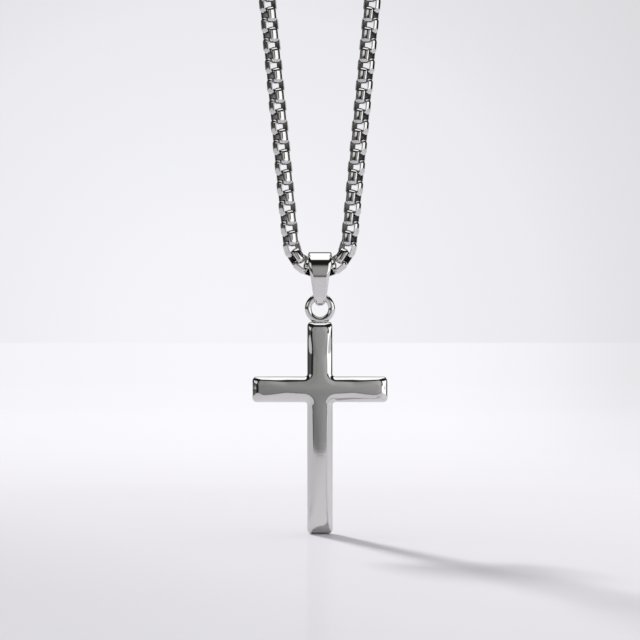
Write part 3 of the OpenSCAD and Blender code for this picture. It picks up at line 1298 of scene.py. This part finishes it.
# How the light on the sheet is spread. side is the angle in radians at which a spot lies from the line
# straight ahead of the camera, forward is its place along Y, away its distance from the pendant, and
# slanted its place across the edge of the soft shade in front, all in metres.
SHEET_LIGHT = {
    "glow": (
        "side", -1.6, 1.6,
        (
            (-1.6, SIDE_GLOW), (-0.3, SIDE_GLOW), (-0.15, 0.84), (-0.09, 0.95), (-0.04, 0.985),
            (0.035, 0.985), (0.062, 0.93), (0.09, 0.83), (0.16, 0.76), (0.3, SIDE_GLOW),
            (1.6, SIDE_GLOW),
        ),
    ),
    "in_front": ("forward", -1, 1, ((-1, 1), (-0.3, 1), (0.1, 0), (1, 0))),
    "lit": ("away", 0, 2, ((0, 0), (0.33, 0), (0.36, 0.2), (0.5, 0.62), (0.95, 0.95), (1.5, 1))),
    "shade": (
        "slanted", -1, 1, ((-1, 0.86), (-0.31, 0.86), (-0.13, 0.955), (0, 0.975), (0.2, 1), (1, 1)),
    ),
}

# The shade's edge runs this far forward for each metre to the left. Nearer to the camera than this, and
# behind it, the angle to the side is taken as it is at this distance ahead.
SHADE_SLANT = 3.6
NEAREST_AHEAD = 0.3

# The sheet's reflection of what stands on it: how strong it is, and how blurred.
SHEEN, SHEEN_ROUGHNESS = 0.05, 0.12


def acrylic(name, finish, camera_distance):
    """Cast white acrylic sheet. Far from the pendant it glows with painted light, brightest straight
    ahead of the camera, so that it melts into the backdrop; near the pendant the lamps light it, with a
    painted soft shade in front. It has a faint soft reflection of what stands on it."""
    material = bpy.data.materials.new(name)
    material.use_nodes = True
    tree = material.node_tree
    tree.nodes.remove(tree.nodes["Principled BSDF"])
    place = add_node(tree, "ShaderNodeTexCoord").outputs["Object"]
    part = add_node(tree, "ShaderNodeSeparateXYZ", {"Vector": place}).outputs
    away = add_node(tree, "ShaderNodeVectorMath", {0: place}, operation="LENGTH").outputs["Value"]
    ahead = add_node(tree, "ShaderNodeMath", {0: part["Y"], 1: camera_distance}, operation="ADD")
    past = add_node(tree, "ShaderNodeMath", {0: ahead, 1: NEAREST_AHEAD}, operation="MAXIMUM")
    side = add_node(tree, "ShaderNodeMath", {0: part["X"], 1: past}, operation="ARCTAN2")
    slant = add_node(tree, "ShaderNodeMath", {0: part["X"], 1: SHADE_SLANT}, operation="MULTIPLY")
    slanted = add_node(tree, "ShaderNodeMath", {0: part["Y"], 1: slant}, operation="ADD")
    measures = {"side": side, "forward": part["Y"], "away": away, "slanted": slanted}
    read = graded(tree, measures, SHEET_LIGHT)
    # Painted light: far from the pendant the sheet glows by itself, brightest straight ahead of the
    # camera.
    glow = add_node(
        tree,
        "ShaderNodeMix",
        {"Factor": read["in_front"], "A": read["glow"], "B": grey(SIDE_GLOW)},
        data_type="RGBA",
    )
    tinted = add_node(
        tree, "ShaderNodeMix", {"Factor": 1.0, "A": glow, "B": [*finish.backdrop, 1.0]}, **MULTIPLY
    )
    # Painted shade: the sheet's own colour darkens across the slanted soft shade in front.
    shaded = add_node(
        tree, "ShaderNodeMix", {"Factor": 1.0, "A": [*finish.table, 1.0], "B": read["shade"]}, **MULTIPLY
    )
    body = add_node(tree, "ShaderNodeBsdfDiffuse", {"Color": shaded})
    lit = add_node(tree, "ShaderNodeEmission", {"Color": tinted})
    sheet = add_node(tree, "ShaderNodeMixShader", {"Fac": read["lit"], 1: body, 2: lit})
    sheen = add_node(
        tree, "ShaderNodeBsdfGlossy", {"Color": grey(1), "Roughness": SHEEN_ROUGHNESS}
    )
    both = add_node(tree, "ShaderNodeMixShader", {"Fac": SHEEN, 1: sheet, 2: sheen})
    tree.links.new(first_output(both), tree.nodes["Material Output"].inputs["Surface"])
    return material


# What the metal mirrors, by direction in degrees: azimuth runs from the camera's side, positive to the
# right, aside is its size, rise is the angle above the horizon, and off_axis is the angle from the
# brightest spot of the backdrop, which only the camera sees. The walls go all round. The front is the
# open side, by height and sideways, with a dark gap on its right and a bright panel on its left. The
# band is dark and lies under the roof.
STUDIO_LIGHT = {
    "walls": (
        "azimuth", -180, 180,
        (
            (-180, 0.9), (-156, 0.9), (-147, 0.03), (-118, 0.14), (-90, 0.03), (-62, 0.12),
            (-42, 0.04), (-19, 0.015), (15, 0.015), (17, 1.5), (77, 1.5), (84, 0.015),
            (128, 0.015), (136, 1.1), (180, 0.9),
        ),
    ),
    "front": (
        "rise", -90, 90,
        (
            (-90, 0.16), (-8, 0.2), (-4, 0.28), (-2.2, 0.42), (-1.2, 0.5), (-0.5, 0.6), (4, 0.62),
            (11, 0.62), (16, 0.6), (20, 0.44), (23, 0.14), (25, 0.02), (90, 0.02),
        ),
    ),
    "front_sideways": (
        "azimuth", -20, 20,
        ((-20, 0.5), (-4, 0.54), (-1, 0.54), (0, 0.64), (1, 0.76), (4, 0.8), (14, 0.96), (20, 1)),
    ),
    "is_front": ("aside", 0, 180, ((0, 1), (13, 1), (16, 0), (180, 0))),
    "gap_across": ("azimuth", -180, 180, ((-180, 0), (13, 0), (16, 1), (24, 1), (29, 0), (180, 0))),
    "gap_up": ("rise", -90, 90, ((-90, 0), (0.4, 0), (1.2, 1), (90, 1))),
    "left_across": (
        "azimuth", -180, 180, ((-180, 0), (-74, 0), (-68, 1), (-34, 1), (-28, 0), (180, 0)),
    ),
    "left_up": ("rise", -90, 90, ((-90, 0), (5, 0), (9, 1), (90, 1))),
    "is_band": ("rise", -90, 90, ((-90, 0), (22, 0), (27, 1), (90, 1))),
    "is_behind": ("aside", 0, 180, ((0, 0), (80, 0), (120, 1), (180, 1))),
    "backdrop": (
        "off_axis", 0, 12, ((0, 0.95), (1.5, 0.945), (3.4, 0.9), (5.3, 0.865), (6.5, 0.81), (9, 0.73)),
    ),
}

# The roof's edge lies at this height, and this many degrees lower behind the pendant.
ROOF_LIGHT = {"is_roof": ("lifted", -90, 90, ((-90, 0), (57, 0), (63, 1), (90, 1)))}
ROOF_SLOPE = 12.0

# Brightness of the studio's plain panels.
GAP, LEFT_PANEL, DARK_BAND, ROOF = 0.03, 0.9, 0.015, 1.5

# The way to the brightest spot of the backdrop.
BRIGHTEST = Vector((-0.0288, 1.0, -0.003)).normalized()


def studio_world(backdrop):
    """A white tent round the pendant, dark and half open in front where the camera stands. Seen directly
    it is a plain pale backdrop, and the metal mirrors its bright and dark panels."""
    world = bpy.data.worlds.new("studio")
    world.use_nodes = True
    tree = world.node_tree
    tree.nodes.clear()
    way = add_node(tree, "ShaderNodeTexCoord").outputs["Generated"]
    part = add_node(tree, "ShaderNodeSeparateXYZ", {"Vector": way}).outputs
    forward = add_node(tree, "ShaderNodeMath", {0: part["Y"], 1: -1.0}, operation="MULTIPLY")
    around = add_node(tree, "ShaderNodeMath", {0: part["X"], 1: forward}, operation="ARCTAN2")
    up = add_node(tree, "ShaderNodeMath", {0: part["Z"]}, operation="ARCSINE")
    near = add_node(tree, "ShaderNodeVectorMath", {0: way, 1: BRIGHTEST}, operation="DOT_PRODUCT")
    off = add_node(tree, "ShaderNodeMath", {0: near.outputs["Value"]}, operation="ARCCOSINE")
    measures = {
        name: add_node(tree, "ShaderNodeMath", {0: angle}, operation="DEGREES")
        for name, angle in (("azimuth", around), ("rise", up), ("off_axis", off))
    }
    measures["aside"] = add_node(
        tree, "ShaderNodeMath", {0: measures["azimuth"]}, operation="ABSOLUTE"
    )
    read = graded(tree, measures, STUDIO_LIGHT)
    slope = add_node(
        tree, "ShaderNodeMath", {0: read["is_behind"], 1: ROOF_SLOPE}, operation="MULTIPLY"
    )
    lifted = add_node(tree, "ShaderNodeMath", {0: measures["rise"], 1: slope}, operation="ADD")
    read.update(graded(tree, {"lifted": lifted}, ROOF_LIGHT))
    gap, left = (
        add_node(
            tree,
            "ShaderNodeMath",
            {0: read[name + "_across"], 1: read[name + "_up"]},
            operation="MULTIPLY",
        )
        for name in ("gap", "left")
    )
    front = add_node(
        tree,
        "ShaderNodeMix",
        {"Factor": 1.0, "A": read["front"], "B": read["front_sideways"]},
        **MULTIPLY,
    )
    studio = read["walls"]
    for share, panel in (
        (read["is_front"], front),
        (gap, grey(GAP)),
        (left, grey(LEFT_PANEL)),
        (read["is_band"], grey(DARK_BAND)),
        (read["is_roof"], grey(ROOF)),
    ):
        studio = add_node(
            tree, "ShaderNodeMix", {"Factor": share, "A": studio, "B": panel}, data_type="RGBA"
        )
    tinted = add_node(
        tree, "ShaderNodeMix", {"Factor": 1.0, "A": read["backdrop"], "B": [*backdrop, 1.0]}, **MULTIPLY
    )
    seen = add_node(tree, "ShaderNodeLightPath").outputs["Is Camera Ray"]
    shown = add_node(
        tree, "ShaderNodeMix", {"Factor": seen, "A": studio, "B": tinted}, data_type="RGBA"
    )
    background = add_node(tree, "ShaderNodeBackground", {"Color": shown})
    add_node(tree, "ShaderNodeOutputWorld", {"Surface": background})
    return world


def make_slab(name, outline, height, material):
    """A flat sheet with this outline, given anticlockwise from above."""
    mesh = bpy.data.meshes.new(name)
    mesh.from_pydata([(x, y, height) for x, y in outline], [], [tuple(range(len(outline)))])
    mesh.materials.append(material)
    slab = bpy.data.objects.new(name, mesh)
    bpy.context.scene.collection.objects.link(slab)
    return slab


def lay_table(sizes, height, material):
    """The table top, which ends level with the camera but for a rounded notch round it, and the floor
    beside and before it. The metal mirrors the top alone, and past its front edge the studio."""
    squareness, steps = 0.35, 33
    side, front, far = sizes.table_side, -sizes.camera_distance, sizes.floor_reach
    notch = []
    for t in np.linspace(math.pi, 0, steps):
        y = front - (sizes.table_front + front) * abs(math.sin(t)) ** squareness
        notch.append((sizes.notch_width * math.cos(t), y))
    top = [(-side, front), *notch, (side, front), (side, far), (-side, far)]
    make_slab("table_top", top, height, material)
    surround = {
        "floor_left": [(-far, -far), (-side, -far), (-side, far), (-far, far)],
        "floor_right": [(side, -far), (far, -far), (far, far), (side, far)],
        "floor_front": [(-side, -far), (side, -far), (side, front), *notch[::-1], (-side, front)],
    }
    for name, outline in surround.items():
        make_slab(name, outline, height, material).visible_glossy = False


# The key light is a soft round lamp high behind the pendant and to its left: the way to it, and how far.
KEY_WAY = Vector((-0.254, 0.931, 0.264)).normalized()
KEY_DISTANCE = 5


def hang_key_light(sizes, height):
    """The key light, which throws the pendant's shadow forward and to the right."""
    lamp = bpy.data.lights.new("key_light", "AREA")
    lamp.shape, lamp.size, lamp.energy = "DISK", sizes.key_size, sizes.key_power
    key = bpy.data.objects.new("key_light", lamp)
    key.location = Vector((0, 0, height)) + KEY_WAY * KEY_DISTANCE
    key.rotation_mode = "QUATERNION"
    key.rotation_quaternion = KEY_WAY.to_track_quat("Z", "Y")
    key.visible_glossy = False
    bpy.context.scene.collection.objects.link(key)


def place_camera(sizes):
    """The level camera, straight in front of the pendant."""
    lens = bpy.data.cameras.new("camera")
    lens.lens, lens.sensor_width = sizes.lens, sizes.sensor
    lens.clip_start, lens.clip_end = 0.01, 100
    camera = bpy.data.objects.new("camera", lens)
    camera.location = (0, -sizes.camera_distance, sizes.camera_height)
    camera.rotation_euler = (math.radians(90), 0, 0)
    bpy.context.scene.collection.objects.link(camera)
    bpy.context.scene.camera = camera


class PENDANT_OT_stage(bpy.types.Operator):
    """Set up the table, the light and the camera"""

    bl_idname = "pendant.stage"
    bl_label = "Stage"

    def execute(self, context):
        sizes, finish = context.scene.pendant_studio, context.scene.pendant_finish
        table_z = CROSS_LOW.z - sizes.table_gap
        lay_table(sizes, table_z, acrylic("white_acrylic", finish, sizes.camera_distance))
        context.scene.world = studio_world(finish.backdrop)
        hang_key_light(sizes, table_z)
        place_camera(sizes)
        context.scene.view_settings.view_transform = "Standard"
        return {"FINISHED"}


# ---- Panel and registration ----

OPERATORS = (
    PENDANT_OT_cross,
    PENDANT_OT_bail,
    PENDANT_OT_chain_front,
    PENDANT_OT_chain_back,
    PENDANT_OT_clasp,
    PENDANT_OT_stage,
)
GROUPS = {
    "pendant_cross": CrossSizes,
    "pendant_bail": BailSizes,
    "pendant_chain": ChainSizes,
    "pendant_clasp": ClaspSizes,
    "pendant_finish": Finish,
    "pendant_studio": StudioSizes,
}


class PENDANT_PT_panel(bpy.types.Panel):
    """Lists the pieces of the pendant in the sidebar"""

    bl_idname = "PENDANT_PT_panel"
    bl_label = "Cross Pendant"
    bl_space_type = "VIEW_3D"
    bl_region_type = "UI"
    bl_category = "Pendant"

    def draw(self, context):
        for operator in OPERATORS:
            self.layout.operator(operator.bl_idname)


def register():
    """Adds the sizes, the operators and the panel to Blender."""
    for name, group in GROUPS.items():
        bpy.utils.register_class(group)
        setattr(bpy.types.Scene, name, PointerProperty(type=group))
    for cls in (*OPERATORS, PENDANT_PT_panel):
        bpy.utils.register_class(cls)


def unregister():
    """Takes them out again."""
    for cls in reversed((*OPERATORS, PENDANT_PT_panel)):
        bpy.utils.unregister_class(cls)
    for name, group in GROUPS.items():
        delattr(bpy.types.Scene, name)
        bpy.utils.unregister_class(group)


def main():
    """Makes the whole scene."""
    register()
    bpy.ops.pendant.cross()
    bpy.ops.pendant.bail()
    bpy.ops.pendant.chain_front()
    bpy.ops.pendant.chain_back()
    bpy.ops.pendant.clasp()
    bpy.ops.pendant.stage()


if __name__ == "__main__":
    main()
